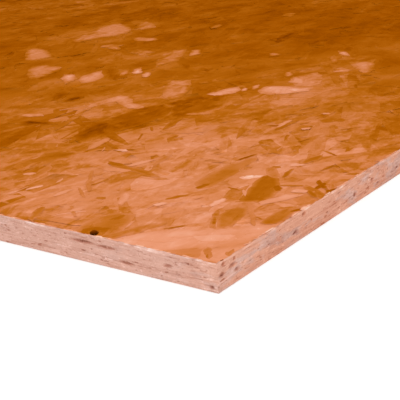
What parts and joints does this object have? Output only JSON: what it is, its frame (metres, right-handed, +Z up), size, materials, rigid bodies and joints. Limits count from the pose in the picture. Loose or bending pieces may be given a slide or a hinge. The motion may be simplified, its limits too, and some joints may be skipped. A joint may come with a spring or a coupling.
{
  "type": "osb panel",
  "caption": "Flat square-edged oriented strand board sheet, for sheathing, decking, shuttering and general joinery; lies flat with its textured face up.",
  "frame": {"origin": "centre of the underside, on the floor that the sheet lies on", "axes": "+X along the length, the direction that most face strands lie in; +Y across the width; +Z up through the thickness, out of the good face"},
  "size_m": [2.44, 1.22, 0.018],
  "materials": {
    "osb": "pressed softwood strands, honey to salmon, satin, with paler matt sawn edges"
  },
  "bodies": {
    "root": {"osb_panel": "osb"}
  },
  "joints": []
}
